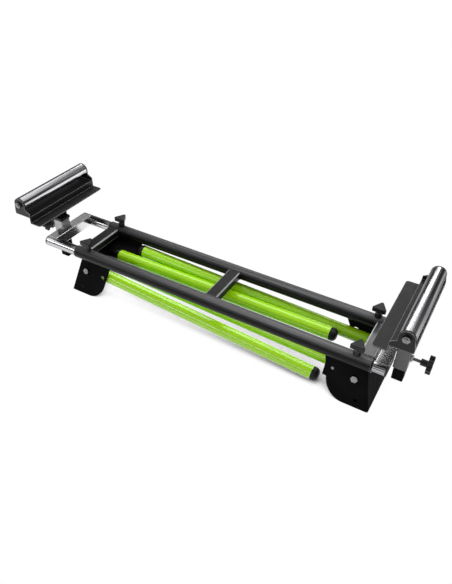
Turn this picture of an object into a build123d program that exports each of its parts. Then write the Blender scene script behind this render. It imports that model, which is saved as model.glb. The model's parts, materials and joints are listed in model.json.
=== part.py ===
from build123d import *
from math import cos, radians, sin, tan
import os

# Folding stand for a miter saw, legs folded flat under two long rails.
# Millimetres. X runs along the rails, +Y to the rear, +Z up.
# The origin is on the floor, under the middle of the stand's overall length.

os.makedirs("parts", exist_ok=True)

# The two rails
rail_length = 950.0
rail_diameter = 38.0
rail_wall = 2.0

# Box tubes welded between the rails
crossbar_width = 38.0
crossbar_height = 27.0
crossbar_wall = 2.0
crossbar_corner = 5.0
crossbar_drop = 0.5

# Plastic bushes in the rail ends
bush_rim = 5.0
bush_sleeve = 28.0
slide_clearance = 0.05

# Folded sheet brackets that carry the legs
sheet = 3.0
plate_splay = 16.0
end_splay = 15.1
plate_inset = 6.8
bracket_inset = 12.3
bracket_length = 113.7
bracket_corner = 60.0
fold_radius = 6.0

# Leg pivots, measured on the outer faces of the side plates
pivot_inset = 31.4
plate_below_button = 15.5
pivot_drop = 57.5
bolt_diameter = 10.0
bolt_head = 17.0
bolt_head_height = 6.4
nut_width = 17.0
nut_height = 8.0
washer_diameter = 21.0
washer_thickness = 1.5
pivot_clearance = 0.1

# Legs
leg_diameter = 38.0
leg_wall = 1.8
leg_end_room = 114.2
leg_gap = 1.0
leg_row_room = 13.0
foot_length = 19.0
foot_round = 12.0
foot_plug = 24.0
low_tilt = 3.4
high_tilt = -2.4
front_inner_tilt = -2.1
rear_inner_tilt = -0.4
front_inner_offset = -10.0
rear_inner_offset = 22.0

# Hinge boxes that carry the two inner legs beside the outer ones
box_length = 84.0
box_below = 17.0
box_above = 33.0
box_deep = 29.0
box_shallow = 17.0
box_start = 4.0

# Spring buttons
button_radius = 62.0
button_diameter = 10.0
button_hole_clearance = 0.2
button_flange = 13.0
button_flange_height = 1.5
button_stand = 1.0
storage_hole = 14.0
working_hole = 10.6
leaf_width = 8.0
leaf_thickness = 0.8
leaf_length = 36.0
leaf_room = 6.2

# Extensions
extension_diameter = 32.0
extension_wall = 1.6
extension_past_middle = 21.0
left_draw = 121.0
right_draw = 36.5
slider_length = 22.0
slider_clearance = 0.08
cap_thickness = 4.0
cap_plug = 14.0
cap_recess = 1.6
extension_bar = 35.0
extension_bar_wall = 2.0
extension_bar_corner = 2.5

# Sockets and posts
socket_width = 36.0
socket_wall = 2.0
socket_below = 42.0
socket_above = 34.0
socket_corner = 3.0
slot_length = 24.0
slot_width = 3.0
slot_rise = 8.0
collar_width = 41.0
collar_height = 8.0
collar_sleeve = 12.0
collar_play = 0.2
post_width = 30.0
post_wall = 2.0
post_corner = 3.0
post_length = 218.5
left_post_drop = 106.0
right_post_drop = 84.0

# Roller heads
head_sheet = 2.5
head_half_length = 141.0
deck_inner = 61.0
deck_corner = 8.0
cradle_inner = 25.0
cradle_outer = 33.0
cradle_step = 20.0
cradle_lip = 12.0
ear_shoulder = 9.0
ear_radius = 19.0
axle_out = 10.0
axle_rise = 35.5
axle_diameter = 10.0
axle_nut_height = 6.5
axle_show = 1.5
roller_diameter = 40.0
roller_wall = 1.6
ring_thickness = 3.0
ring_plug = 16.0
ring_bore_clearance = 0.08
ear_gap = 0.5

# Clamp knobs
knob_inset = 41.0
boss_diameter = 20.0
boss_rise = 31.0
stem_diameter = 8.0
stem_clearance = 0.4
tip_gap = 0.2
knob_bottom = 40.0
knob_height = 12.0
knob_corner_reach = 26.0
knob_corner_radius = 5.0
knob_edge = 2.5
knob_collar = 17.0
knob_collar_height = 5.0
star_drop = 7.0
star_reach = 19.0
star_lobe = 6.0
star_core = 17.0
star_lobes = 6
star_head_height = 13.0
star_hub = 18.0
star_hub_height = 17.0
star_stem_show = 19.0
weld_nut = 16.0
weld_nut_height = 6.0

overrun = 2.0

rail_spacing = 4 * leg_diameter + leg_row_room
rail_height = pivot_drop + button_radius + plate_below_button
rail_radius = rail_diameter / 2
rail_bore = rail_radius - rail_wall
rail_y = rail_spacing / 2
leg_radius = leg_diameter / 2
leg_bore = leg_radius - leg_wall
crossbar_bottom = rail_height - crossbar_drop - crossbar_height / 2
plate_half_width = rail_y - plate_inset
bracket_outer = rail_length / 2 - bracket_inset
bracket_inner = bracket_outer - bracket_length
pivot_x = rail_length / 2 - pivot_inset
knob_x = rail_length / 2 - knob_inset
leg_length = 2 * pivot_x - leg_end_room
extension_length = rail_length / 2 + extension_past_middle
left_reach = rail_length / 2 + left_draw
right_reach = rail_length / 2 + right_draw
post_beyond = cap_thickness + socket_width / 2
axle_half_length = head_half_length + axle_nut_height + axle_show
middle_shift = (left_reach - right_reach) / 2
star_z = rail_height - star_drop
pivot_z = rail_height - pivot_drop
pivot_y = plate_half_width + pivot_drop * tan(radians(plate_splay))
outer_depth = sheet + washer_thickness + leg_radius
inner_depth = outer_depth + leg_diameter + leg_gap
working_tilt = 90 + end_splay
ends = ((-1, "left"), (1, "right"))
sides = ((-1, "front"), (1, "rear"))


def keep(piece, name):
    # Built from the middle of the rails, kept from the middle of the whole.
    placed = Pos(middle_shift, 0, 0) * piece.part
    placed.label = name
    export_step(placed, "parts/" + name + ".step")


def inner_leg(end, side):
    # The left rear leg and the right front leg lie inside their neighbours.
    return end != side


def stored_tilt(end, side):
    if inner_leg(end, side):
        return front_inner_tilt if side < 0 else rear_inner_tilt
    return low_tilt if side < 0 else high_tilt


def leg_offset(end, side):
    if inner_leg(end, side):
        return front_inner_offset if side < 0 else rear_inner_offset
    return 0


def plate_up(side):
    splay = radians(plate_splay)
    return Vector(0, -side * sin(splay), cos(splay))


def plate_in(side):
    splay = radians(plate_splay)
    return Vector(0, -side * cos(splay), -sin(splay))


def along(end, side, tilt):
    # Direction of a leg that points inboard and tilt degrees down.
    slope = radians(tilt)
    return Vector(-end * cos(slope), 0, 0) - plate_up(side) * sin(slope)


def across(end, side, tilt):
    slope = radians(tilt)
    return plate_up(side) * cos(slope) + Vector(-end * sin(slope), 0, 0)


def pivot_point(end, side):
    return Vector(end * pivot_x, side * pivot_y, pivot_z)


def station(end, side, tilt, depth, run=0, rise=0):
    # Local x runs along the leg, the normal points into the bracket.
    direction = along(end, side, tilt)
    spot = pivot_point(end, side) + plate_in(side) * depth
    spot = spot + direction * run + across(end, side, tilt) * rise
    return Plane(origin=spot, x_dir=direction, z_dir=plate_in(side))


def lift(end, side):
    # Plus one where the station's local y points up, minus one where it points down.
    return -end * side


def hexagon(width):
    return RegularPolygon(radius=width / 2, side_count=6, major_radius=False)


# Rails
for side, side_name in sides:
    with BuildPart() as rail:
        with BuildSketch(Plane.YZ.offset(-rail_length / 2)):
            with Locations((side * rail_y, rail_height)):
                Circle(rail_radius)
                Circle(rail_bore, mode=Mode.SUBTRACT)
        extrude(amount=rail_length)
        with BuildSketch(Plane.XY.offset(rail_height)):
            with Locations((-knob_x, side * rail_y), (knob_x, side * rail_y)):
                Circle(stem_diameter / 2 + stem_clearance)
        extrude(amount=rail_diameter, mode=Mode.SUBTRACT)
    keep(rail, side_name + "_rail")

# Crossbars between the rails
end_bar_x = rail_length / 2 - crossbar_width / 2
for bar_x, bar_name in ((-end_bar_x, "left"), (0, "middle"), (end_bar_x, "right")):
    with BuildPart() as crossbar:
        with BuildSketch(Plane.XZ):
            with Locations((bar_x, rail_height - crossbar_drop)):
                RectangleRounded(crossbar_width, crossbar_height, crossbar_corner)
                RectangleRounded(
                    crossbar_width - 2 * crossbar_wall,
                    crossbar_height - 2 * crossbar_wall,
                    crossbar_corner - crossbar_wall,
                    mode=Mode.SUBTRACT,
                )
        extrude(amount=rail_y, both=True)
        with BuildSketch(Plane.YZ.offset(-rail_length)):
            with Locations((-rail_y, rail_height), (rail_y, rail_height)):
                Circle(rail_radius)
        extrude(amount=2 * rail_length, mode=Mode.SUBTRACT)
    keep(crossbar, bar_name + "_crossbar")

# Bushes that guide the extension tubes at the rail ends
with BuildPart() as rail_end_bushes:
    for end, end_name in ends:
        with BuildSketch(Plane.YZ.offset(end * (rail_length / 2 + bush_rim))):
            with Locations((-rail_y, rail_height), (rail_y, rail_height)):
                Circle(rail_radius)
        extrude(amount=-end * bush_rim)
        with BuildSketch(Plane.YZ.offset(end * rail_length / 2)):
            with Locations((-rail_y, rail_height), (rail_y, rail_height)):
                Circle(rail_bore)
        extrude(amount=-end * bush_sleeve)
        with BuildSketch(Plane.YZ.offset(end * (rail_length / 2 + bush_rim))):
            with Locations((-rail_y, rail_height), (rail_y, rail_height)):
                Circle(extension_diameter / 2 + slide_clearance)
        extrude(amount=-end * (bush_rim + bush_sleeve), mode=Mode.SUBTRACT)
    rims = rail_end_bushes.edges().filter_by(GeomType.CIRCLE)
    rims = rims.filter_by(lambda edge: edge.radius > rail_bore + rail_wall / 2)
    fillet(rims.filter_by(lambda edge: abs(edge.center().X) > rail_length / 2 + rail_wall), rail_wall)
keep(rail_end_bushes, "rail_end_bushes")

# Knob bosses saddled on top of the rails
with BuildPart() as knob_bosses:
    for end, end_name in ends:
        with BuildSketch(Plane.XY.offset(rail_height)):
            with Locations((end * knob_x, -rail_y), (end * knob_x, rail_y)):
                Circle(boss_diameter / 2)
                Circle(stem_diameter / 2 + stem_clearance, mode=Mode.SUBTRACT)
        extrude(amount=boss_rise)
    with BuildSketch(Plane.YZ.offset(-rail_length)):
        with Locations((-rail_y, rail_height), (rail_y, rail_height)):
            Circle(rail_radius)
    extrude(amount=2 * rail_length, mode=Mode.SUBTRACT)
    boss_tops = knob_bosses.faces().filter_by(Axis.Z).group_by(Axis.Z)[-1]
    chamfer(boss_tops.edges().filter_by(lambda edge: edge.radius > stem_diameter), rail_wall / 2)
keep(knob_bosses, "knob_bosses")

# Leg brackets, sheet folded to a splayed U that opens towards the middle
bracket_top = crossbar_bottom
inset_side = sheet / cos(radians(plate_splay))
inset_end = sheet / cos(radians(end_splay))


def bracket_width(height):
    return 2 * (plate_half_width + (rail_height - height) * tan(radians(plate_splay)))


def bracket_reach(height):
    return bracket_outer + (rail_height - height) * tan(radians(end_splay))


def bracket_back(height):
    return bracket_inner + (rail_height - height) * tan(radians(end_splay))


for end, end_name in ends:
    start = bracket_inner - bracket_corner
    with BuildPart() as leg_bracket:
        for height in (bracket_top, 0):
            reach = bracket_reach(height) - start
            with BuildSketch(Plane.XY.offset(height)):
                with Locations((end * (start + reach / 2), 0)):
                    Rectangle(reach, bracket_width(height))
        loft(ruled=True)
        folds = leg_bracket.edges().filter_by(lambda edge: abs(edge.tangent_at(0).Z) > 0.5)
        fillet(folds.sort_by(Axis.X)[-2:] if end > 0 else folds.sort_by(Axis.X)[:2], fold_radius)
        with BuildPart(mode=Mode.PRIVATE) as hollow:
            for height in (bracket_top + overrun, -overrun):
                reach = bracket_reach(height) - inset_end - start + overrun
                with BuildSketch(Plane.XY.offset(height)):
                    with Locations((end * (start - overrun + reach / 2), 0)):
                        Rectangle(reach, bracket_width(height) - 2 * inset_side)
            loft(ruled=True)
            folds = hollow.edges().filter_by(lambda edge: abs(edge.tangent_at(0).Z) > 0.5)
            inner_folds = folds.sort_by(Axis.X)[-2:] if end > 0 else folds.sort_by(Axis.X)[:2]
            fillet(inner_folds, fold_radius - sheet)
        add(hollow.part, mode=Mode.SUBTRACT)
        with BuildSketch(Plane.XZ):
            with BuildLine():
                Polyline(
                    (end * (bracket_back(bracket_top)), bracket_top),
                    (end * (bracket_back(0)), 0),
                    (end * (bracket_reach(0) + overrun), 0),
                    (end * (bracket_reach(0) + overrun), bracket_top),
                    close=True,
                )
            outline = make_face()
            heel = outline.vertices().sort_by_distance((end * bracket_back(0), 0, 0))[:1]
            fillet(heel, bracket_corner)
        extrude(amount=bracket_width(0), both=True, mode=Mode.INTERSECT)
        with BuildSketch(Plane.YZ.offset(-rail_length)):
            with Locations((-rail_y, rail_height), (rail_y, rail_height)):
                Circle(rail_radius)
        extrude(amount=2 * rail_length, mode=Mode.SUBTRACT)
        for side, side_name in sides:
            tilt = stored_tilt(end, side)
            with BuildSketch(station(end, side, 0, -overrun)):
                Circle(bolt_diameter / 2 + pivot_clearance)
            extrude(amount=sheet + 2 * overrun, mode=Mode.SUBTRACT)
            with BuildSketch(station(end, side, tilt, -overrun, button_radius)):
                Circle(storage_hole / 2)
            extrude(amount=sheet + 2 * overrun, mode=Mode.SUBTRACT)
            with BuildSketch(station(end, side, working_tilt, -overrun, button_radius)):
                Circle(working_hole / 2)
            extrude(amount=sheet + 2 * overrun, mode=Mode.SUBTRACT)
    keep(leg_bracket, end_name + "_leg_bracket")

# Pivot bolts, washers and nuts
box_depth = sheet + washer_thickness
with BuildPart() as pivot_bolts:
    for end, end_name in ends:
        for side, side_name in sides:
            grip = box_depth + sheet if inner_leg(end, side) else box_depth + leg_diameter
            with BuildSketch(station(end, side, 0, 0)):
                hexagon(bolt_head)
            extrude(amount=-bolt_head_height)
            with BuildSketch(station(end, side, 0, 0)):
                Circle(bolt_diameter / 2)
            extrude(amount=grip + nut_height + overrun)
keep(pivot_bolts, "pivot_bolts")

with BuildPart() as pivot_washers:
    for end, end_name in ends:
        for side, side_name in sides:
            with BuildSketch(station(end, side, 0, sheet)):
                Circle(washer_diameter / 2)
                Circle(bolt_diameter / 2, mode=Mode.SUBTRACT)
            extrude(amount=washer_thickness - pivot_clearance)
keep(pivot_washers, "pivot_washers")

with BuildPart() as pivot_nuts:
    for end, end_name in ends:
        for side, side_name in sides:
            grip = box_depth + sheet if inner_leg(end, side) else box_depth + leg_diameter
            with BuildSketch(station(end, side, 0, grip + pivot_clearance)):
                hexagon(nut_width)
                Circle(bolt_diameter / 2, mode=Mode.SUBTRACT)
            extrude(amount=nut_height)
keep(pivot_nuts, "pivot_nuts")

# Legs with rounded pivot ends, their feet and their spring buttons
for end, end_name in ends:
    for side, side_name in sides:
        leg_name = side_name + "_" + end_name
        tilt = stored_tilt(end, side)
        rise = leg_offset(end, side)
        depth = inner_depth if inner_leg(end, side) else outer_depth
        web = box_depth + (sheet if inner_leg(end, side) else leg_wall)
        axis_plane = station(end, side, tilt, depth, 0, rise)
        centre_line = Axis(axis_plane.origin, axis_plane.x_dir)
        up_sign = lift(end, side)

        with BuildPart() as leg:
            with BuildSketch(axis_plane):
                with BuildLine():
                    corner = (0, leg_radius)
                    crown = (-leg_radius * cos(radians(45)), leg_radius * sin(radians(45)))
                    ThreePointArc((-leg_radius, 0), crown, corner)
                    Line(corner, (leg_length, leg_radius))
                    Line((leg_length, leg_radius), (leg_length, leg_bore))
                    Line((leg_length, leg_bore), (0, leg_bore))
                    bore_crown = (-leg_bore * cos(radians(45)), leg_bore * sin(radians(45)))
                    ThreePointArc((0, leg_bore), bore_crown, (-leg_bore, 0))
                    Line((-leg_bore, 0), (-leg_radius, 0))
                make_face()
            revolve(axis=centre_line)
            if not inner_leg(end, side):
                with BuildSketch(station(end, side, tilt, 0)):
                    Circle(bolt_diameter / 2 + pivot_clearance)
                extrude(amount=2 * inner_depth, mode=Mode.SUBTRACT)
                with BuildSketch(station(end, side, tilt, 0, button_radius)):
                    Circle(button_diameter / 2 + button_hole_clearance)
                extrude(amount=depth, mode=Mode.SUBTRACT)
        keep(leg, leg_name + "_leg")

        if inner_leg(end, side):
            low = box_deep if side < 0 else box_below
            high = box_shallow if side < 0 else box_above
            half = (low + high) / 2
            middle = up_sign * (high - low) / 2
            nose = 0 if side < 0 else box_start
            with BuildPart() as hinge_box:
                with BuildSketch(station(end, side, tilt, box_depth)):
                    with Locations((nose, middle)):
                        Circle(half)
                    with Locations(((nose + box_length) / 2, middle)):
                        Rectangle(box_length - nose, 2 * half)
                extrude(amount=depth - box_depth)
                with BuildSketch(station(end, side, tilt, box_depth + sheet)):
                    with Locations((nose, middle)):
                        Circle(half - sheet)
                    with Locations(((nose + box_length - sheet) / 2, middle)):
                        Rectangle(box_length - sheet - nose, 2 * (half - sheet))
                extrude(amount=depth, mode=Mode.SUBTRACT)
                with BuildSketch(station(end, side, tilt, 0)):
                    Circle(bolt_diameter / 2 + pivot_clearance)
                extrude(amount=box_depth + 2 * sheet, mode=Mode.SUBTRACT)
                with BuildSketch(station(end, side, tilt, 0, button_radius)):
                    Circle(button_diameter / 2 + button_hole_clearance)
                extrude(amount=box_depth + 2 * sheet, mode=Mode.SUBTRACT)
                with BuildSketch(axis_plane):
                    with BuildLine():
                        ThreePointArc((-leg_radius, 0), crown, corner)
                        Line(corner, (leg_length, leg_radius))
                        Line((leg_length, leg_radius), (leg_length, 0))
                        Line((leg_length, 0), (-leg_radius, 0))
                    make_face()
                revolve(axis=centre_line, mode=Mode.SUBTRACT)
            keep(hinge_box, leg_name + "_hinge_box")

        with BuildPart() as foot:
            with BuildSketch(axis_plane):
                with BuildLine():
                    tip = leg_length + foot_length
                    bend = foot_round * cos(radians(45))
                    mid_x = tip - foot_round + bend
                    mid_y = leg_radius - foot_round + bend
                    Line((leg_length - foot_plug, 0), (leg_length - foot_plug, leg_bore))
                    Line((leg_length - foot_plug, leg_bore), (leg_length, leg_bore))
                    Line((leg_length, leg_bore), (leg_length, leg_radius))
                    Line((leg_length, leg_radius), (tip - foot_round, leg_radius))
                    ThreePointArc(
                        (tip - foot_round, leg_radius), (mid_x, mid_y), (tip, leg_radius - foot_round)
                    )
                    Line((tip, leg_radius - foot_round), (tip, 0))
                    Line((tip, 0), (leg_length - foot_plug, 0))
                make_face()
            revolve(axis=centre_line)
        keep(foot, leg_name + "_foot")

        with BuildPart() as button:
            face = box_depth - button_stand
            seat = web if inner_leg(end, side) else web + button_stand + leg_wall / 4
            with BuildSketch(station(end, side, tilt, face, button_radius)):
                Circle(button_diameter / 2)
            extrude(amount=seat - face + button_flange_height)
            tip_edges = button.edges().filter_by(GeomType.CIRCLE)
            fillet(tip_edges.sort_by_distance(pivot_point(end, side))[:1], button_stand)
            with BuildSketch(station(end, side, tilt, seat + slide_clearance, button_radius)):
                Circle(button_flange / 2)
            extrude(amount=button_flange_height)
            back = seat + slide_clearance + button_flange_height
            far = 2 * outer_depth - box_depth - leg_wall - leaf_room
            if inner_leg(end, side):
                far = depth - leg_radius - leaf_room
            strip = station(end, side, tilt, back, button_radius)
            strip_plane = Plane(origin=strip.origin, x_dir=strip.x_dir, z_dir=across(end, side, tilt))
            inward = 1 if strip_plane.y_dir.dot(plate_in(side)) > 0 else -1
            tail = leaf_length if not inner_leg(end, side) else -leaf_length
            with BuildSketch(strip_plane):
                with BuildLine():
                    Polyline(
                        (-button_flange / 2 if tail > 0 else button_flange / 2, inward * leaf_thickness / 2),
                        (tail, inward * leaf_thickness / 2),
                        (0, inward * (far - back)),
                    )
                trace(line_width=leaf_thickness)
            extrude(amount=leaf_width / 2, both=True)
        keep(button, leg_name + "_lock_button")

# Extensions that slide in the rails
for end, end_name in ends:
    reach = left_reach if end < 0 else right_reach
    post_x = end * (reach + post_beyond)
    with BuildPart() as extension_tubes:
        with BuildSketch(Plane.YZ.offset(end * reach)):
            with Locations((-rail_y, rail_height), (rail_y, rail_height)):
                Circle(extension_diameter / 2)
                Circle(extension_diameter / 2 - extension_wall, mode=Mode.SUBTRACT)
        extrude(amount=-end * extension_length)
    keep(extension_tubes, end_name + "_extension_tubes")

    inner_end = reach - extension_length
    with BuildPart() as slider_rings:
        with BuildSketch(Plane.YZ.offset(end * (inner_end + slider_length))):
            with Locations((-rail_y, rail_height), (rail_y, rail_height)):
                Circle(rail_bore - slider_clearance)
                Circle(extension_diameter / 2, mode=Mode.SUBTRACT)
        extrude(amount=-end * slider_length)
    keep(slider_rings, end_name + "_slider_rings")

    with BuildPart() as end_caps:
        with BuildSketch(Plane.YZ.offset(end * reach)):
            with Locations((-rail_y, rail_height), (rail_y, rail_height)):
                Circle(extension_diameter / 2)
        extrude(amount=end * cap_thickness)
        with BuildSketch(Plane.YZ.offset(end * reach)):
            with Locations((-rail_y, rail_height), (rail_y, rail_height)):
                Circle(extension_diameter / 2 - extension_wall)
        extrude(amount=-end * cap_plug)
        with BuildSketch(Plane.YZ.offset(end * (reach + cap_thickness))):
            with Locations((-rail_y, rail_height), (rail_y, rail_height)):
                Circle(extension_diameter / 2 - cap_thickness)
        extrude(amount=-end * cap_recess, mode=Mode.SUBTRACT)
    keep(end_caps, end_name + "_extension_end_caps")

    bar_x = post_x - end * (socket_width / 2 + extension_bar / 2)
    with BuildPart() as extension_bar_tube:
        with BuildSketch(Plane.XZ):
            with Locations((bar_x, rail_height)):
                RectangleRounded(extension_bar, extension_bar, extension_bar_corner)
                Rectangle(
                    extension_bar - 2 * extension_bar_wall,
                    extension_bar - 2 * extension_bar_wall,
                    mode=Mode.SUBTRACT,
                )
        extrude(amount=rail_y, both=True)
        with BuildSketch(Plane.YZ.offset(end * (reach + cap_thickness + overrun))):
            with Locations((-rail_y, rail_height), (rail_y, rail_height)):
                Circle(extension_diameter / 2)
        extrude(amount=-end * extension_length, mode=Mode.SUBTRACT)
    keep(extension_bar_tube, end_name + "_extension_crossbar")

    with BuildPart() as socket:
        with BuildSketch(Plane.XY.offset(rail_height - socket_below)):
            with Locations((post_x, 0)):
                RectangleRounded(socket_width, socket_width, socket_corner)
                Rectangle(
                    socket_width - 2 * socket_wall, socket_width - 2 * socket_wall, mode=Mode.SUBTRACT
                )
        extrude(amount=socket_below + socket_above)
        with BuildSketch(Plane.YZ.offset(post_x + end * socket_width)):
            with Locations((0, star_z)):
                Circle(stem_diameter / 2 + stem_clearance)
        extrude(amount=-end * socket_width, mode=Mode.SUBTRACT)
        slot_z = rail_height + extension_bar / 2 + slot_rise
        with BuildSketch(Plane.YZ.offset(post_x - end * socket_width)):
            with Locations((0, slot_z)):
                SlotOverall(slot_length, slot_width)
        extrude(amount=end * socket_width, mode=Mode.SUBTRACT)
    keep(socket, end_name + "_post_socket")

    with BuildPart() as collar:
        with BuildSketch(Plane.XY.offset(rail_height + socket_above)):
            with Locations((post_x, 0)):
                RectangleRounded(collar_width, collar_width, socket_corner + collar_play)
        extrude(amount=collar_height)
        chamfer(collar.faces().sort_by(Axis.Z)[-1].edges(), socket_wall / 2)
        with BuildSketch(Plane.XY.offset(rail_height + socket_above)):
            with Locations((post_x, 0)):
                Rectangle(socket_width - 2 * socket_wall, socket_width - 2 * socket_wall)
        extrude(amount=-collar_sleeve)
        with BuildSketch(Plane.XY.offset(rail_height + socket_above - collar_sleeve)):
            with Locations((post_x, 0)):
                RectangleRounded(
                    post_width + 2 * collar_play, post_width + 2 * collar_play, post_corner
                )
        extrude(amount=collar_sleeve + collar_height, mode=Mode.SUBTRACT)
    keep(collar, end_name + "_post_collar")

    with BuildPart() as weld_nut_piece:
        with BuildSketch(Plane.YZ.offset(post_x + end * socket_width / 2)):
            with Locations((0, star_z)):
                hexagon(weld_nut)
                Circle(stem_diameter / 2 + stem_clearance, mode=Mode.SUBTRACT)
        extrude(amount=end * weld_nut_height)
    keep(weld_nut_piece, end_name + "_weld_nut")

    with BuildPart() as star_knob:
        stem_tip = post_x + end * (post_width / 2 + tip_gap)
        hub_start = post_x + end * (socket_width / 2 + weld_nut_height + star_stem_show)
        head_start = hub_start + end * star_hub_height
        with BuildSketch(Plane.YZ.offset(stem_tip)):
            with Locations((0, star_z)):
                Circle(stem_diameter / 2)
        extrude(amount=abs(hub_start - stem_tip) * end)
        with BuildSketch(Plane.YZ.offset(hub_start)):
            with Locations((0, star_z)):
                Circle(star_hub / 2)
        extrude(amount=end * star_hub_height)
        with BuildSketch(Plane.YZ.offset(head_start)):
            with Locations((0, star_z)):
                Circle(star_core)
                with PolarLocations(star_reach, star_lobes):
                    Circle(star_lobe)
        extrude(amount=end * star_head_height)
        outer_face = star_knob.faces().filter_by(Axis.X).sort_by(Axis.X)
        chosen = outer_face[-1] if end > 0 else outer_face[0]
        fillet(chosen.edges(), knob_edge)
    keep(star_knob, end_name + "_star_knob")

    # Head that the work lies on
    post_bottom = rail_height - (left_post_drop if end < 0 else right_post_drop)
    seat_z = post_bottom + post_length
    with BuildPart() as post:
        with BuildSketch(Plane.XY.offset(post_bottom)):
            with Locations((post_x, 0)):
                RectangleRounded(post_width, post_width, post_corner)
                Rectangle(post_width - 2 * post_wall, post_width - 2 * post_wall, mode=Mode.SUBTRACT)
        extrude(amount=post_length)
    keep(post, end_name + "_post")

    axle_x = post_x + end * axle_out
    axle_z = seat_z + axle_rise
    with BuildPart() as roller_bracket:
        half_sheet = head_sheet / 2
        inner_x = post_x - end * (cradle_inner - half_sheet)
        outer_x = post_x + end * (cradle_outer - half_sheet)
        with BuildSketch(Plane.XZ):
            with BuildLine():
                Polyline(
                    (post_x - end * deck_inner, seat_z + half_sheet - cradle_step),
                    (inner_x, seat_z + half_sheet - cradle_step),
                    (inner_x, seat_z + half_sheet),
                    (outer_x, seat_z + half_sheet),
                    (outer_x, seat_z + cradle_lip),
                )
            trace(line_width=head_sheet)
        extrude(amount=head_half_length, both=True)
        corners = roller_bracket.edges().filter_by(Axis.Z).group_by(Axis.X)
        fillet(corners[0 if end > 0 else -1], deck_corner)
        for side, side_name in sides:
            with BuildSketch(Plane.XZ.offset(-side * head_half_length)):
                with BuildLine():
                    Polyline(
                        (post_x - end * cradle_inner, seat_z),
                        (post_x - end * cradle_inner, seat_z + cradle_lip),
                        (axle_x - end * ear_radius, seat_z + cradle_lip + ear_shoulder),
                        (axle_x - end * ear_radius, axle_z),
                        (axle_x + end * ear_radius, axle_z),
                        (post_x + end * cradle_outer, seat_z + cradle_lip),
                        (post_x + end * cradle_outer, seat_z),
                        close=True,
                    )
                make_face()
                with Locations((axle_x, axle_z)):
                    Circle(ear_radius)
                    Circle(axle_diameter / 2, mode=Mode.SUBTRACT)
            extrude(amount=side * head_sheet)
    keep(roller_bracket, end_name + "_roller_bracket")

    with BuildPart() as axle:
        with BuildSketch(Plane.XZ):
            with Locations((axle_x, axle_z)):
                Circle(axle_diameter / 2)
        extrude(amount=axle_half_length, both=True)
        for side, side_name in sides:
            with BuildSketch(Plane.XZ.offset(-side * head_half_length)):
                with Locations((axle_x, axle_z)):
                    hexagon(bolt_head)
            extrude(amount=-side * axle_nut_height)
    keep(axle, end_name + "_roller_axle")

    roller_half = head_half_length - head_sheet - ear_gap
    with BuildPart() as roller:
        with BuildSketch(Plane.XZ):
            with Locations((axle_x, axle_z)):
                Circle(roller_diameter / 2)
                Circle(roller_diameter / 2 - roller_wall, mode=Mode.SUBTRACT)
        extrude(amount=roller_half - ring_thickness, both=True)
    keep(roller, end_name + "_roller")

    with BuildPart() as roller_rings:
        for side, side_name in sides:
            with BuildSketch(Plane.XZ.offset(-side * roller_half)):
                with Locations((axle_x, axle_z)):
                    Circle(roller_diameter / 2)
            extrude(amount=side * ring_thickness)
            with BuildSketch(Plane.XZ.offset(-side * (roller_half - ring_thickness))):
                with Locations((axle_x, axle_z)):
                    Circle(roller_diameter / 2 - roller_wall)
            extrude(amount=side * ring_plug)
        with BuildSketch(Plane.XZ):
            with Locations((axle_x, axle_z)):
                Circle(axle_diameter / 2 + ring_bore_clearance)
        extrude(amount=roller_half, both=True, mode=Mode.SUBTRACT)
    keep(roller_rings, end_name + "_roller_end_rings")

# Three-lobed knobs that clamp the extension tubes in the rails
for end, end_name in ends:
    for side, side_name in sides:
        with BuildPart() as rail_knob:
            stem_bottom = rail_height + extension_diameter / 2 + tip_gap
            with BuildSketch(Plane.XY.offset(stem_bottom)):
                with Locations((end * knob_x, side * rail_y)):
                    Circle(stem_diameter / 2)
            extrude(amount=rail_height + knob_bottom - stem_bottom)
            with BuildSketch(Plane.XY.offset(rail_height + knob_bottom - knob_collar_height)):
                with Locations((end * knob_x, side * rail_y)):
                    Circle(knob_collar / 2)
            extrude(amount=knob_collar_height)
            with BuildSketch(Plane.XY.offset(rail_height + knob_bottom)):
                with Locations((end * knob_x, side * rail_y)):
                    triangle = RegularPolygon(knob_corner_reach, side_count=3, rotation=90)
                fillet(triangle.vertices(), knob_corner_radius)
            extrude(amount=knob_height)
            fillet(rail_knob.faces().filter_by(Axis.Z).sort_by(Axis.Z)[-1].edges(), knob_edge)
        keep(rail_knob, side_name + "_" + end_name + "_rail_knob")
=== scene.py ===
import json
from math import cos, radians, sin, tau

import bmesh
import bpy
from mathutils import Matrix, Vector


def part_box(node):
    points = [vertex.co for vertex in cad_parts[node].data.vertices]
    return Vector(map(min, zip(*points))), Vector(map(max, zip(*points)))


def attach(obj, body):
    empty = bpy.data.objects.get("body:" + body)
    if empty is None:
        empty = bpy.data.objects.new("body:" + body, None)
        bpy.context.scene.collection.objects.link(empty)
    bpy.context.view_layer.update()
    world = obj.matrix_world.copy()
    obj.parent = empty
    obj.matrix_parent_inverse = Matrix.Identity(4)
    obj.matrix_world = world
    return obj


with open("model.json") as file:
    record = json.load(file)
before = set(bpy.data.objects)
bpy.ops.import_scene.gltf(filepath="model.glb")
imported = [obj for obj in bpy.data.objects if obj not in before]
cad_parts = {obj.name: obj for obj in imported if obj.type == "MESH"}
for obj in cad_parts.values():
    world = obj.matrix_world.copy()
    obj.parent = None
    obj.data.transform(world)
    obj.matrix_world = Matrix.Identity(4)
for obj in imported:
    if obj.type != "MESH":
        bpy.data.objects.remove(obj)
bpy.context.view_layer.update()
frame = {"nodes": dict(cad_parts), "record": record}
scene = bpy.context.scene
scene.view_settings.view_transform = "Standard"
nodes = frame["nodes"]


# Materials

# How much more blue than red a grey paint or plating has.
BLUE_TINT = 1.03


def grey(level, tint=BLUE_TINT):
    return (level, level, level * tint)


def fill_ramp(ramp, stops):
    """Give a colour ramp these stops of a place and a colour."""
    while len(ramp.elements) < len(stops):
        ramp.elements.new(0.5)
    for element, (place, colour) in zip(ramp.elements, stops):
        element.position = place
        element.color = (*colour, 1.0)


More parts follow.
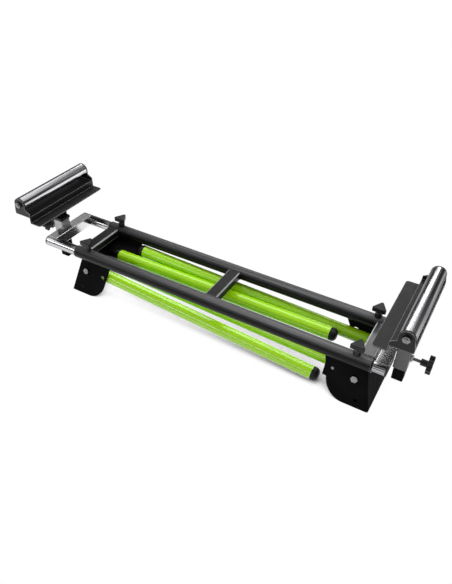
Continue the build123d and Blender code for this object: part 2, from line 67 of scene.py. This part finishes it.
class Shader:
    """A node material built step by step."""

    def __init__(self, name):
        self.mat = bpy.data.materials.new(name)
        self.mat.use_nodes = True
        self.tree = self.mat.node_tree
        self.bsdf = self.tree.nodes["Principled BSDF"]
        self.coord = self.tree.nodes.new("ShaderNodeTexCoord")

    def new(self, kind, **values):
        node = self.tree.nodes.new(kind)
        for key, value in values.items():
            setattr(node, key, value)
        return node

    def link(self, source, socket):
        self.tree.links.new(source, socket)

    def math(self, operation, *values, clamp=False):
        """The result of a math node on sockets or numbers."""
        node = self.new("ShaderNodeMath", operation=operation, use_clamp=clamp)
        for socket, value in zip(node.inputs, values):
            if isinstance(value, bpy.types.NodeSocket):
                self.link(value, socket)
            else:
                socket.default_value = value
        return node.outputs[0]

    def axes(self, vector):
        """The X, Y and Z of a vector socket."""
        node = self.new("ShaderNodeSeparateXYZ")
        self.link(vector, node.inputs[0])
        return node.outputs

    def noise(self, scale, detail=4.0, rough=0.55, stretch=(1, 1, 1)):
        mapping = self.new("ShaderNodeMapping")
        mapping.inputs["Scale"].default_value = stretch
        self.link(self.coord.outputs["Object"], mapping.inputs["Vector"])
        node = self.new("ShaderNodeTexNoise")
        node.inputs["Scale"].default_value = scale
        node.inputs["Detail"].default_value = detail
        node.inputs["Roughness"].default_value = rough
        self.link(mapping.outputs["Vector"], node.inputs["Vector"])
        return node.outputs["Fac"]

    def ramp(self, source, stops):
        node = self.new("ShaderNodeValToRGB")
        fill_ramp(node.color_ramp, stops)
        self.link(source, node.inputs["Fac"])
        return node.outputs["Color"]

    def spread(self, source, low, high, start=0.3, stop=0.7):
        """Run from low to high while the source runs from start to stop."""
        node = self.new("ShaderNodeMapRange")
        node.inputs["From Min"].default_value = start
        node.inputs["From Max"].default_value = stop
        node.inputs["To Min"].default_value = low
        node.inputs["To Max"].default_value = high
        self.link(source, node.inputs["Value"])
        return node.outputs["Result"]

    def bump(self, source, strength, distance, after=None):
        node = self.new("ShaderNodeBump")
        node.inputs["Strength"].default_value = strength
        node.inputs["Distance"].default_value = distance
        self.link(source, node.inputs["Height"])
        if after is not None:
            self.link(after, node.inputs["Normal"])
        return node.outputs["Normal"]

    def edges(self, radius, gain):
        """Nothing on a flat face, and more the nearer a sharp edge of the mesh is."""
        bevel = self.new("ShaderNodeBevel", samples=8)
        bevel.inputs["Radius"].default_value = radius
        flat = self.new("ShaderNodeNewGeometry")
        dot = self.new("ShaderNodeVectorMath", operation="DOT_PRODUCT")
        self.link(bevel.outputs["Normal"], dot.inputs[0])
        self.link(flat.outputs["Normal"], dot.inputs[1])
        turned = self.math("SUBTRACT", 1.0, dot.outputs["Value"])
        return self.math("MULTIPLY", turned, gain, clamp=True)

    def corners(self):
        """One along the rounded corners of a box section that runs along Y."""
        across, _, up = self.axes(self.coord.outputs["Normal"])
        size = self.math("ABSOLUTE", self.math("MULTIPLY", across, up))
        return self.spread(size, 0.0, 1.0, 0.1, 0.45)

    def mixed(self, source, factor, colour):
        """The source colour, turned to another colour by a factor."""
        mix = self.new("ShaderNodeMix", data_type="RGBA")
        self.link(factor, mix.inputs[0])
        self.link(source, mix.inputs[6])
        mix.inputs[7].default_value = (*colour, 1.0)
        return mix.outputs[2]

    def put(self, name, value):
        socket = self.bsdf.inputs[name]
        if isinstance(value, bpy.types.NodeSocket):
            self.link(value, socket)
        elif socket.type == "RGBA":
            socket.default_value = (*value, 1.0)
        else:
            socket.default_value = value
        return self


def gloss_black(name, shine, painted_top_highlight, edge):
    """Black tube paint. It is lighter on faces turned up, in lengthwise lines and more so towards
    +X, which is a painted highlight, and lighter along its edges or corners, which are painted
    highlights.
    """
    s = Shader(name)
    peel = s.noise(260.0, 2.0, 0.4, (0.3, 1, 1))
    drawn = s.noise(330.0, 3.0, 0.6, (0.006, 1, 1))
    cloud = s.noise(9.0, 3.0, 0.5)
    paint = s.ramp(cloud, [(0.3, (0.0030, 0.0030, 0.0033)), (0.75, (0.0055, 0.0055, 0.006))])
    # Faces turned up get a lighter grey in lengthwise lines, stronger towards +X: a painted
    # highlight.
    if painted_top_highlight:
        facing_up = s.axes(s.coord.outputs["Normal"])[2]
        along = s.axes(s.coord.outputs["Object"])[0]
        top_highlight_mask = s.spread(facing_up, 0.0, 1.0, 0.5, 0.82)
        top_highlight_mask = s.math("MULTIPLY", top_highlight_mask, s.spread(along, 0.35, 1.0, -0.35, 0.3))
        top_highlight_mask = s.math("MULTIPLY", top_highlight_mask, s.spread(drawn, 0.3, 1.0, 0.36, 0.6))
        paint = s.mixed(paint, top_highlight_mask, grey(painted_top_highlight))
    # Sharp edges, or a crossbar's rounded corners, get a lighter grey: painted highlights.
    edge_highlight_mask = s.edges(0.0012, 4.0) if painted_top_highlight else s.corners()
    s.put("Base Color", s.mixed(paint, edge_highlight_mask, grey(edge)))
    s.put("Roughness", s.spread(drawn, 0.27, 0.42))
    s.put("Normal", s.bump(peel, 0.015, 0.0004, s.bump(drawn, 0.2, 0.0003)))
    s.put("Specular IOR Level", shine)
    return s.mat


def sheet_black():
    s = Shader("bracket_black_paint")
    peel = s.noise(700.0, 3.0, 0.5)
    cloud = s.noise(14.0, 3.0, 0.5)
    paint = s.ramp(cloud, [(0.3, (0.0055, 0.0055, 0.006)), (0.75, (0.0095, 0.0095, 0.01))])
    # Sharp edges and folds get a lighter grey: painted highlights.
    s.put("Base Color", s.mixed(paint, s.edges(0.0012, 3.0), (0.02, 0.02, 0.021)))
    s.put("Roughness", s.spread(s.noise(40.0), 0.4, 0.5))
    s.put("Normal", s.bump(peel, 0.05, 0.0004))
    s.put("Specular IOR Level", 0.5).put("IOR", 1.03)
    return s.mat


def leg_green(name, dip=None):
    """Leg paint; dip gives where along X the black of the hinge end starts and is full."""
    s = Shader(name)
    peel = s.noise(300.0, 2.0, 0.4)
    cloud = s.noise(7.0, 3.0, 0.5)
    paint = s.ramp(cloud, [(0.3, (0.32, 0.67, 0.003)), (0.75, (0.36, 0.71, 0.005))])
    if dip:
        along = s.axes(s.coord.outputs["Object"])[0]
        paint = s.mixed(paint, s.spread(along, 0.0, 1.0, *dip), (0.003, 0.003, 0.0033))
    s.put("Base Color", paint)
    s.put("Roughness", s.spread(s.noise(55.0), 0.2, 0.25))
    s.put("Normal", s.bump(peel, 0.015, 0.0004))
    s.put("Specular IOR Level", 0.4)
    s.put("Coat Weight", 0.5).put("Coat Roughness", 0.08)
    return s.mat


def chrome(name, stretch, rough, painted_reflection_greys):
    """Chrome plating with lines along the axis that stretch makes small, and dark and light
    streaks of painted reflection along the axis in its colour.
    """
    s = Shader(name)
    lines = s.noise(300.0, 3.0, 0.6, stretch)
    # Dark and light streaks in the plating's colour are painted reflections.
    painted_reflection_streaks = s.noise(62.0, 3.0, 0.6, stretch)
    stops = [(place, grey(shade)) for place, shade in zip((0.41, 0.5, 0.59), painted_reflection_greys)]
    s.put("Base Color", s.ramp(painted_reflection_streaks, stops))
    s.put("Metallic", 1.0)
    s.put("Roughness", s.spread(lines, *rough))
    s.put("Normal", s.bump(lines, 0.05, 0.0002))
    s.put("Specular Tint", (0.25, 0.25, 0.25))
    return s.mat


def zinc(name, low, high, metal=0.45, rough=(0.3, 0.42), grit=0.05):
    """Zinc plating, dull and cloudy, or bright where metal is high and grit low."""
    s = Shader(name)
    grain = s.noise(220.0, 5.0, 0.6)
    cloud = s.noise(22.0, 4.0, 0.6)
    plate = s.ramp(cloud, [(0.3, grey(low, 1.02)), (0.7, grey(high, 1.02))])
    # Sharp edges get a lighter grey: painted highlights.
    s.put("Base Color", s.mixed(plate, s.edges(0.001, 3.0), (0.8, 0.8, 0.81)))
    s.put("Metallic", metal)
    s.put("Roughness", s.spread(grain, *rough))
    s.put("Normal", s.bump(grain, grit, 0.0003))
    return s.mat


def plastic(name, rough, grit):
    s = Shader(name)
    grain = s.noise(1100.0, 3.0, 0.6)
    cloud = s.noise(18.0, 3.0)
    body = s.ramp(cloud, [(0.3, grey(0.004, 1.05)), (0.7, grey(0.0064))])
    # Sharp edges get a lighter grey: painted highlights.
    s.put("Base Color", s.mixed(body, s.edges(0.003, 3.0), (0.06, 0.06, 0.062)))
    s.put("Roughness", s.spread(s.noise(50.0), *rough))
    s.put("Normal", s.bump(grain, grit, 0.0004))
    s.put("Specular IOR Level", 0.2)
    return s.mat


def head_grey():
    s = Shader("head_satin_paint")
    peel = s.noise(600.0, 3.0, 0.5)
    cloud = s.noise(11.0, 3.0, 0.5)
    paint = s.ramp(cloud, [(0.3, (0.0045, 0.0045, 0.005)), (0.75, (0.0085, 0.0085, 0.009))])
    # Sharp edges and folds get a lighter grey: painted highlights.
    s.put("Base Color", s.mixed(paint, s.edges(0.002, 5.0), (0.3, 0.3, 0.31)))
    s.put("Roughness", s.spread(s.noise(45.0), 0.36, 0.46))
    s.put("Normal", s.bump(peel, 0.05, 0.0004))
    s.put("Specular IOR Level", 0.17)
    return s.mat


def bright():
    s = Shader("bright_bolt_steel")
    grain = s.noise(500.0, 4.0, 0.6)
    stops = [(0.3, (0.1, 0.1, 0.103)), (0.7, (0.2, 0.2, 0.205))]
    s.put("Base Color", s.ramp(s.noise(60.0, 3.0), stops))
    s.put("Metallic", 1.0)
    s.put("Roughness", s.spread(grain, 0.22, 0.38))
    s.put("Normal", s.bump(grain, 0.05, 0.0002))
    return s.mat


rail_black = gloss_black("rail_black_paint", shine=0.12, painted_top_highlight=0.13, edge=0.1)
bar_black = gloss_black("crossbar_black_paint", shine=0.1, painted_top_highlight=0.0, edge=0.3)
# The right crossbar gets a shinier copy of the same crossbar paint with lighter corners: a painted
# highlight for the reflection on its top.
bar_black_lit_copy = gloss_black("end_crossbar_paint_lit_copy", shine=1.0, painted_top_highlight=0.0, edge=0.5)
sheet = sheet_black()
green = leg_green("leg_green_paint")

# Each of the two inner legs is black for this length at its hinge end, like its hinge box.
DIP_LENGTH, DIP_BLEND = 0.062, 0.0008
dip_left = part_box("rear_left_leg")[0][0] + DIP_LENGTH
dip_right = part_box("front_right_leg")[1][0] - DIP_LENGTH
rear_left_green = leg_green("rear_left_leg_paint", (dip_left, dip_left - DIP_BLEND))
front_right_green = leg_green("front_right_leg_paint", (dip_right, dip_right + DIP_BLEND))

tube_chrome = chrome("extension_chrome", (0.02, 1, 1), (0.1, 0.2), (0.16, 0.36, 0.55))
roller_chrome = chrome("roller_chrome", (1, 0.02, 1), (0.12, 0.24), (0.12, 0.36, 0.6))
bar_zinc = zinc("crossbar_zinc", 0.46, 0.58, metal=0.95, rough=(0.16, 0.19), grit=0.002)
# One zinc plating in two copies: lighter on the left socket, a painted reflection of light, and
# darker on the right socket, painted shade.
left_zinc_painted_light = zinc("left_socket_zinc_painted_light", 0.24, 0.32)
right_zinc_painted_shade = zinc("right_socket_zinc_painted_shade", 0.06, 0.09)
knob_plastic = plastic("knob_plastic", (0.36, 0.5), 0.1)
bush_plastic = plastic("bush_plastic", (0.28, 0.4), 0.08)
rubber = plastic("foot_rubber", (0.45, 0.6), 0.2)
head_paint = head_grey()
bolt_steel = bright()

# A node's finish goes by its whole name, or by the end of its name, or is rail paint.
finish_by_name = {
    "rear_left_leg": rear_left_green,
    "front_right_leg": front_right_green,
    "left_crossbar": bar_black,
    "middle_crossbar": bar_black,
    "right_crossbar": bar_black_lit_copy,
    "left_post_socket": left_zinc_painted_light,
    "right_post_socket": right_zinc_painted_shade,
    "rail_end_bushes": bush_plastic,
    "knob_bosses": knob_plastic,
    "pivot_bolts": bolt_steel,
    "pivot_washers": bolt_steel,
    "pivot_nuts": bolt_steel,
}
finish_by_ending = {
    "_foot": rubber,
    "_leg": green,
    "_lock_button": bolt_steel,
    "_weld_nut": bolt_steel,
    "_roller_axle": bolt_steel,
    "_extension_tubes": tube_chrome,
    "_roller": roller_chrome,
    "_extension_crossbar": bar_zinc,
    "_roller_bracket": head_paint,
    "_slider_rings": bush_plastic,
    "_roller_end_rings": bush_plastic,
    "_knob": knob_plastic,
    "_collar": knob_plastic,
    "_end_caps": knob_plastic,
    "_leg_bracket": sheet,
    "_hinge_box": sheet,
    "_post": sheet,
}


def finish_of(name):
    if name in finish_by_name:
        return finish_by_name[name]
    for ending, material in finish_by_ending.items():
        if name.endswith(ending):
            return material
    return rail_black


for name, node in nodes.items():
    material = finish_of(name)
    if not node.material_slots:
        node.data.materials.append(material)
    for place in node.material_slots:
        place.material = material


# Weld beads, threads and washers

def ribbon(name, rings, body, material, closed):
    """One smooth mesh from rings of points, its ends capped when it is open."""
    mesh = bmesh.new()
    made = [[mesh.verts.new(point) for point in ring] for ring in rings]
    count = len(made)
    for i in range(count if closed else count - 1):
        near, far = made[i], made[(i + 1) % count]
        for j in range(len(near)):
            k = (j + 1) % len(near)
            mesh.faces.new((near[j], near[k], far[k], far[j]))
    if not closed:
        mesh.faces.new(made[0][::-1])
        mesh.faces.new(made[-1])
    bmesh.ops.recalc_face_normals(mesh, faces=mesh.faces)
    data = bpy.data.meshes.new(name)
    mesh.to_mesh(data)
    mesh.free()
    data.polygons.foreach_set("use_smooth", [True] * len(data.polygons))
    data.materials.append(material)
    piece = bpy.data.objects.new(name, data)
    scene.collection.objects.link(piece)
    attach(piece, body)


# A bead swells and thins by this share of its radius, once in this many points of its path.
BEAD_RADIUS, BEAD_RIPPLE, BEAD_PERIOD, BEAD_SIDES = 0.0016, 0.22, 4.0, 8


def weld_bead(name, path, body, material, closed):
    """A rippled bead of weld along a path of points."""
    count = len(path)
    rings = []
    for i, point in enumerate(path):
        before = path[i - 1] if closed or i else point
        after = path[(i + 1) % count] if closed or i + 1 < count else point
        ahead = (Vector(after) - Vector(before)).normalized()
        aside = ahead.orthogonal() if abs(ahead.x) > 0.9 else ahead.cross(Vector((1, 0, 0)))
        aside.normalize()
        over = ahead.cross(aside)
        swell = BEAD_RADIUS * (1 + BEAD_RIPPLE * sin(tau * i / BEAD_PERIOD))
        ring = []
        for j in range(BEAD_SIDES):
            angle = tau * j / BEAD_SIDES
            ring.append(Vector(point) + swell * (cos(angle) * aside + sin(angle) * over))
        rings.append(ring)
    ribbon(name, rings, body, material, closed)


def rounded_box(half_x, half_z, corner, step):
    """Points round a rectangle with round corners, evenly spaced."""
    corner_parts = 4
    loop = []
    for turn, (x, z) in enumerate(((1, 1), (-1, 1), (-1, -1), (1, -1))):
        for k in range(corner_parts + 1):
            angle = tau / 4 * (turn + k / corner_parts)
            loop.append((
                x * (half_x - corner) + corner * cos(angle),
                z * (half_z - corner) + corner * sin(angle),
            ))
    loop.append(loop[0])
    even = []
    for (ax, az), (bx, bz) in zip(loop, loop[1:]):
        parts = max(1, round(((bx - ax) ** 2 + (bz - az) ** 2) ** 0.5 / step))
        even += [(ax + (bx - ax) * k / parts, az + (bz - az) * k / parts) for k in range(parts)]
    return even


# A bead lies this far off the rail, so that its inner half stays in the rail's wall.
BEAD_LIFT, BAR_CORNER, BEAD_STEP = 0.0006, 0.005, 0.0012
rail_low, rail_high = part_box("front_rail")
rail_radius = (rail_high[2] - rail_low[2]) / 2
front_rail_y = (rail_low[1] + rail_high[1]) / 2
rail_z = (rail_low[2] + rail_high[2]) / 2
for bar in ("left_crossbar", "middle_crossbar", "right_crossbar"):
    low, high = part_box(bar)
    mid_x, mid_z = (low[0] + high[0]) / 2, (low[2] + high[2]) / 2
    half_x, half_z = (high[0] - low[0]) / 2, (high[2] - low[2]) / 2
    outline = rounded_box(half_x, half_z, BAR_CORNER, BEAD_STEP)
    for side, side_name in ((1, "front"), (-1, "rear")):
        path = []
        for x, z in outline:
            away = ((rail_radius + BEAD_LIFT) ** 2 - (mid_z + z - rail_z) ** 2) ** 0.5
            path.append((mid_x + x, side * (front_rail_y + away), mid_z + z))
        weld_bead(f"{bar}_{side_name}_weld", path, "frame", rail_black, True)

SOCKET_BEAD_PARTS = 28
for side in ("left", "right"):
    low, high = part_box(side + "_extension_crossbar")
    socket_low, socket_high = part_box(side + "_post_socket")
    face_x = high[0] if side == "right" else low[0]
    rise = (high[2] - low[2]) / SOCKET_BEAD_PARTS
    for y, end_name in ((socket_low[1], "front"), (socket_high[1], "rear")):
        path = [(face_x, y, low[2] + rise * k) for k in range(1, SOCKET_BEAD_PARTS)]
        name = f"{side}_socket_{end_name}_weld"
        weld_bead(name, path, side + "_extension", bar_zinc, False)


# A thread is a sleeve round a plain stem, with its helix as a ripple of its radius.
THREAD_RADIUS, THREAD_DEPTH, THREAD_PITCH = 0.0044, 0.0003, 0.00125
RINGS_PER_TURN, THREAD_SIDES = 6, 20


def thread(name, start, along, length, body):
    ahead = Vector(along)
    aside = ahead.orthogonal().normalized()
    over = ahead.cross(aside)
    rings = []
    steps = int(length / THREAD_PITCH * RINGS_PER_TURN)
    for i in range(steps + 1):
        run = length * i / steps
        ring = []
        for j in range(THREAD_SIDES):
            angle = tau * j / THREAD_SIDES
            radius = THREAD_RADIUS + THREAD_DEPTH * cos(tau * run / THREAD_PITCH - angle)
            out = cos(angle) * aside + sin(angle) * over
            ring.append(Vector(start) + ahead * run + radius * out)
        rings.append(ring)
    ribbon(name, rings, body, bolt_steel, False)


STAR_THREAD_LENGTH, STAR_THREAD_GAP = 0.0184, 0.0004
for side, out_way in (("left", -1), ("right", 1)):
    nut_low, nut_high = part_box(side + "_weld_nut")
    nut_face = nut_high[0] if out_way > 0 else nut_low[0]
    start = (nut_face + out_way * STAR_THREAD_GAP, 0, (nut_low[2] + nut_high[2]) / 2)
    name = side + "_star_knob_thread"
    thread(name, start, (out_way, 0, 0), STAR_THREAD_LENGTH, side + "_star_knob")


def turned_ring(name, profile, centre, body, material):
    """A ring turned round a vertical axis from a closed profile of radius and height."""
    sides = 32
    rings = []
    for j in range(sides):
        angle = tau * j / sides
        ring = [Vector((r * cos(angle), r * sin(angle), z)) for r, z in profile]
        rings.append([Vector(centre) + point for point in ring])
    ribbon(name, rings, body, material, True)


WASHER_PROFILE = (
    (0.0046, 0.0002),
    (0.0082, 0.0002),
    (0.0088, 0.0006),
    (0.0082, 0.0014),
    (0.0046, 0.0014),
)
WASHER_TOP, STEM_SHOWN = 0.0015, 0.0023
boss_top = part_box("knob_bosses")[1][2]
for joint in frame["record"]["behaviour"]["joints"]:
    if joint["name"].endswith("_rail_knob_turn"):
        knob = joint["child"]
        x, y = joint["pos_m"][:2]
        centre = (x, y, boss_top)
        turned_ring(knob + "_washer", WASHER_PROFILE, centre, knob, bolt_steel)
        thread(knob + "_thread", (x, y, boss_top + WASHER_TOP), (0, 0, 1), STEM_SHOWN, knob)


# Camera, solved from the photograph

PHOTO_WIDTH, PHOTO_HEIGHT = 452, 584
FOCAL_PIXELS, CENTRE_X, CENTRE_Y = 559.43, 227.17, 291.59
AZIMUTH, ELEVATION, ROLL = 29.61, 38.66, -1.0
SENSOR_HEIGHT = 36.0
RAILS_MIDDLE_X = 0.04225
CAMERA_PLACE = Vector((0.6412 + RAILS_MIDDLE_X, -1.1038, 1.1358))


def camera_matrix(azimuth, elevation, roll, place):
    az, el, tilt = radians(azimuth), radians(elevation), radians(roll)
    ahead = Vector((-sin(az) * cos(el), cos(az) * cos(el), -sin(el)))
    right = ahead.cross(Vector((0, 0, 1))).normalized()
    down = ahead.cross(right)
    across = right * cos(tilt) + down * sin(tilt)
    under = down * cos(tilt) - right * sin(tilt)
    turn = Matrix((across, -under, -ahead)).transposed().to_4x4()
    return Matrix.Translation(place) @ turn


camera_data = bpy.data.cameras.new("photo_camera")
camera_data.sensor_fit = "VERTICAL"
camera_data.sensor_height = SENSOR_HEIGHT
camera_data.lens = FOCAL_PIXELS * SENSOR_HEIGHT / PHOTO_HEIGHT
camera_data.shift_x = (PHOTO_WIDTH / 2 - CENTRE_X) / PHOTO_HEIGHT
camera_data.shift_y = (CENTRE_Y - PHOTO_HEIGHT / 2) / PHOTO_HEIGHT
camera_data.clip_start = 0.05
camera = bpy.data.objects.new("photo_camera", camera_data)
scene.collection.objects.link(camera)
camera.matrix_world = camera_matrix(AZIMUTH, ELEVATION, ROLL, CAMERA_PLACE)
scene.camera = camera


# Floor

def pale(name, colour):
    """A pale floor: the camera sees white through it, darkened by the object's shadow,
    so legs that unfold below it still show. Reflections see it white, and light bounces off it."""
    s = Shader(name)
    s.put("Base Color", colour).put("Roughness", 0.9).put("Specular IOR Level", 0.1)
    s.put("Normal", s.bump(s.noise(30.0, 2.0), 0.02, 0.001))
    path = s.new("ShaderNodeLightPath").outputs
    shade = s.new("ShaderNodeAmbientOcclusion")
    shade.inputs["Distance"].default_value = 0.1
    open_part = s.new("ShaderNodeMapRange", interpolation_type="SMOOTHSTEP")
    s.link(shade.outputs["AO"], open_part.inputs["Value"])
    open_part.inputs["From Min"].default_value = 0.2
    open_part.inputs["From Max"].default_value = 0.56
    unshaded = open_part.outputs[0]

    mirrored = s.math("MAXIMUM", path["Is Glossy Ray"], path["Is Transmission Ray"])
    glow = s.new("ShaderNodeEmission")
    s.link(s.math("MULTIPLY", mirrored, unshaded), glow.inputs["Strength"])
    solid = s.new("ShaderNodeAddShader")
    s.link(s.bsdf.outputs[0], solid.inputs[0])
    s.link(glow.outputs[0], solid.inputs[1])
    clear = s.new("ShaderNodeBsdfTransparent")
    s.link(s.math("MAXIMUM", unshaded, path["Is Shadow Ray"]), clear.inputs["Color"])
    mix = s.new("ShaderNodeMixShader")
    s.link(s.math("MAXIMUM", path["Is Camera Ray"], path["Is Shadow Ray"]), mix.inputs["Fac"])
    s.link(solid.outputs[0], mix.inputs[1])
    s.link(clear.outputs[0], mix.inputs[2])
    s.link(mix.outputs[0], s.tree.nodes["Material Output"].inputs["Surface"])
    return s.mat


FLOOR_REACH, FLOOR_Z = 9.0, -0.0005
corners = [(x * FLOOR_REACH, y * FLOOR_REACH, 0) for x, y in ((-1, -1), (1, -1), (1, 1), (-1, 1))]
floor_mesh = bpy.data.meshes.new("floor")
floor_mesh.from_pydata(corners, [], [(0, 1, 2, 3)])
floor_mesh.materials.append(pale("pale_floor", (0.5, 0.5, 0.5)))
floor = bpy.data.objects.new("floor", floor_mesh)
scene.collection.objects.link(floor)
floor.location.z = FLOOR_Z


# World: white to the camera, soft bands of light to the object

STUDIO_STRENGTH = 0.7
STUDIO_BANDS = (
    (0.0, 0.9),
    (0.08, 0.8),
    (0.14, 0.1),
    (0.36, 0.08),
    (0.46, 0.6),
    (0.7, 0.8),
    (1.0, 0.6),
)
world = bpy.data.worlds.new("studio")
scene.world = world
world.use_nodes = True
tree = world.node_tree
tree.nodes.clear()
out = tree.nodes.new("ShaderNodeOutputWorld")
path = tree.nodes.new("ShaderNodeLightPath")
white = tree.nodes.new("ShaderNodeBackground")
white.inputs["Color"].default_value = (1.0, 1.0, 1.0, 1.0)
white.inputs["Strength"].default_value = 1.0
studio = tree.nodes.new("ShaderNodeBackground")
studio.inputs["Strength"].default_value = STUDIO_STRENGTH
sky = tree.nodes.new("ShaderNodeTexCoord")
split = tree.nodes.new("ShaderNodeSeparateXYZ")
bands = tree.nodes.new("ShaderNodeValToRGB")
fill_ramp(bands.color_ramp, [(place, grey(level, 1.0)) for place, level in STUDIO_BANDS])
mix = tree.nodes.new("ShaderNodeMixShader")
tree.links.new(sky.outputs["Generated"], split.inputs[0])
tree.links.new(split.outputs["Z"], bands.inputs["Fac"])
tree.links.new(bands.outputs["Color"], studio.inputs["Color"])
tree.links.new(path.outputs["Is Camera Ray"], mix.inputs["Fac"])
tree.links.new(studio.outputs[0], mix.inputs[1])
tree.links.new(white.outputs[0], mix.inputs[2])
tree.links.new(mix.outputs[0], out.inputs["Surface"])


# Lights

def softbox(name, place, target, width, height, power):
    light = bpy.data.lights.new(name, "AREA")
    light.shape = "RECTANGLE"
    light.size = width
    light.size_y = height
    light.energy = power
    box = bpy.data.objects.new(name, light)
    scene.collection.objects.link(box)
    box.location = place
    look = (Vector(target) - Vector(place)).to_track_quat("-Z", "Y")
    box.rotation_euler = look.to_euler()


softbox("top_box", (0.0, 0.9, 2.5), (0, 0, 0.1), 4.2, 1.5, 66)
softbox("rear_box", (-0.9, 3.0, 2.4), (0, 0, 0.15), 3.4, 0.6, 34)
softbox("front_box", (-1.1, -2.5, 1.25), (0, 0, 0.1), 3.6, 0.4, 26)
softbox("left_box", (-2.8, -0.8, 1.5), (0, 0, 0.15), 1.0, 1.2, 20)
softbox("right_box", (2.8, 0.6, 1.4), (0, 0, 0.15), 0.8, 1.4, 20)
